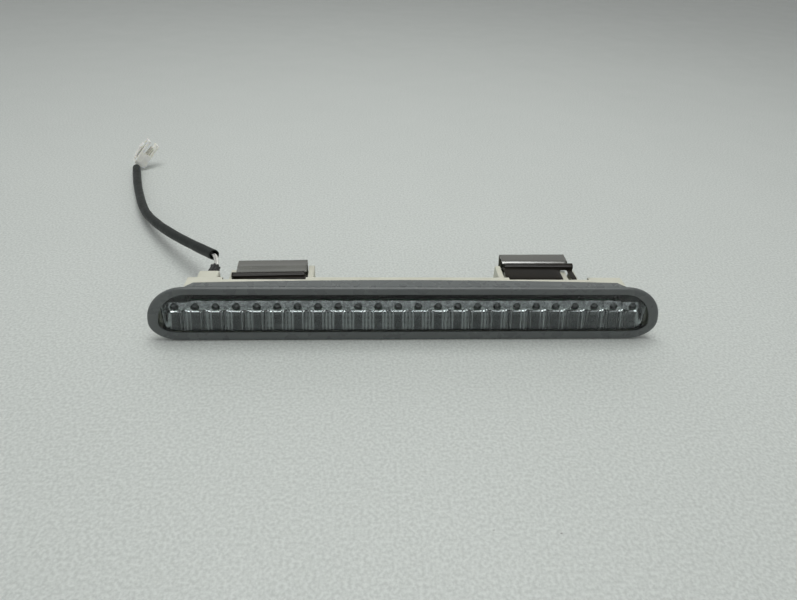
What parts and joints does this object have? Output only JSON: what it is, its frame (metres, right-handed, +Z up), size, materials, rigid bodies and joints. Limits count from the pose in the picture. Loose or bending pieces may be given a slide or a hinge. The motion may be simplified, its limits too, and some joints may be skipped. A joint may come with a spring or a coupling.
{
  "type": "third brake light",
  "caption": "Long oval high-mounted brake light: smoked lens over a row of LEDs, cream housing, two spring clips at the back and a sleeved cable with a two-way plug.",
  "frame": {"origin": "middle of the flat lower edge of the lens flange, on the lamp's plane of symmetry, where the lamp rests", "axes": "+X along the lamp, away from its cable; +Y from the lens towards the clips, the way the lamp is pushed into the body panel; +Z up"},
  "size_m": [0.455, 0.3122, 0.0434],
  "materials": {
    "smoked_lens": "smooth, grey smoked acrylic",
    "black_butyl": "matt, soft",
    "cream_plastic": "moulded, satin",
    "metallised_plastic": "vacuum metallised",
    "clear_led": "clear epoxy",
    "board_green": "solder mask",
    "zinc_screw": "zinc plated",
    "black_chip": "moulded epoxy",
    "spring_steel": "dark, oiled, lightly stained",
    "black_rubber": "matt",
    "white_wire": "smooth insulation",
    "grey_wire": "smooth insulation",
    "black_sleeving": "satin tube",
    "natural_nylon": "translucent white nylon",
    "tinned_brass": "tinned"
  },
  "bodies": {
    "lamp": {"outer_lens": "smoked_lens", "lens_seal": "black_butyl", "housing": "cream_plastic", "reflector": "metallised_plastic", "led_01": "clear_led", "led_02": "clear_led", "led_03": "clear_led", "led_04": "clear_led", "led_05": "clear_led", "led_06": "clear_led", "led_07": "clear_led", "led_08": "clear_led", "led_09": "clear_led", "led_10": "clear_led", "led_11": "clear_led", "led_12": "clear_led", "led_13": "clear_led", "led_14": "clear_led", "led_15": "clear_led", "led_16": "clear_led", "led_17": "clear_led", "led_18": "clear_led", "led_19": "clear_led", "led_20": "clear_led", "led_21": "clear_led", "led_22": "clear_led", "led_23": "clear_led", "led_24": "clear_led", "circuit_board": "board_green", "board_screw_1": "zinc_screw", "board_screw_2": "zinc_screw", "board_screw_3": "zinc_screw", "board_screw_4": "zinc_screw", "resistor_1": "black_chip", "resistor_2": "black_chip", "resistor_3": "black_chip", "resistor_4": "black_chip", "diode": "black_chip", "cable_boot": "black_rubber", "inner_wire_live": "white_wire", "inner_wire_ground": "grey_wire"},
    "left_clip": {"left_clip": "spring_steel"},
    "right_clip": {"right_clip": "spring_steel"},
    "cable": {"cable_sleeve": "black_sleeving", "cable_wire_live": "white_wire", "cable_wire_ground": "grey_wire"},
    "plug": {"connector_housing": "natural_nylon", "terminal_1": "tinned_brass", "terminal_2": "tinned_brass"},
    "latch": {"connector_latch": "natural_nylon"}
  },
  "joints": [
    {"name": "left_clip_slide", "type": "slide", "parent": "lamp", "child": "left_clip", "axis": [0, 1, 0], "range_m": [0, 0.008]},
    {"name": "right_clip_slide", "type": "slide", "parent": "lamp", "child": "right_clip", "axis": [0, 1, 0], "range_m": [-0.008, 0]},
    {"name": "cable_swing", "type": "hinge", "parent": "lamp", "child": "cable", "pos_m": [-0.138, 0.0454, 0.03], "axis": [0, 0, 1], "range_deg": [-20, 20], "stiffness_Nm_per_rad": 0.05},
    {"name": "plug_swing", "type": "hinge", "parent": "cable", "child": "plug", "pos_m": [-0.2732, 0.295, 0.0058], "axis": [0, 0, 1], "range_deg": [-20, 20], "stiffness_Nm_per_rad": 0.01},
    {"name": "latch_press", "type": "hinge", "parent": "plug", "child": "latch", "pos_m": [-0.2742, 0.29453, 0.01439], "axis": [-0.4442, 0.8959, -0.003], "range_deg": [0, 3.5], "stiffness_Nm_per_rad": 0.2}
  ]
}
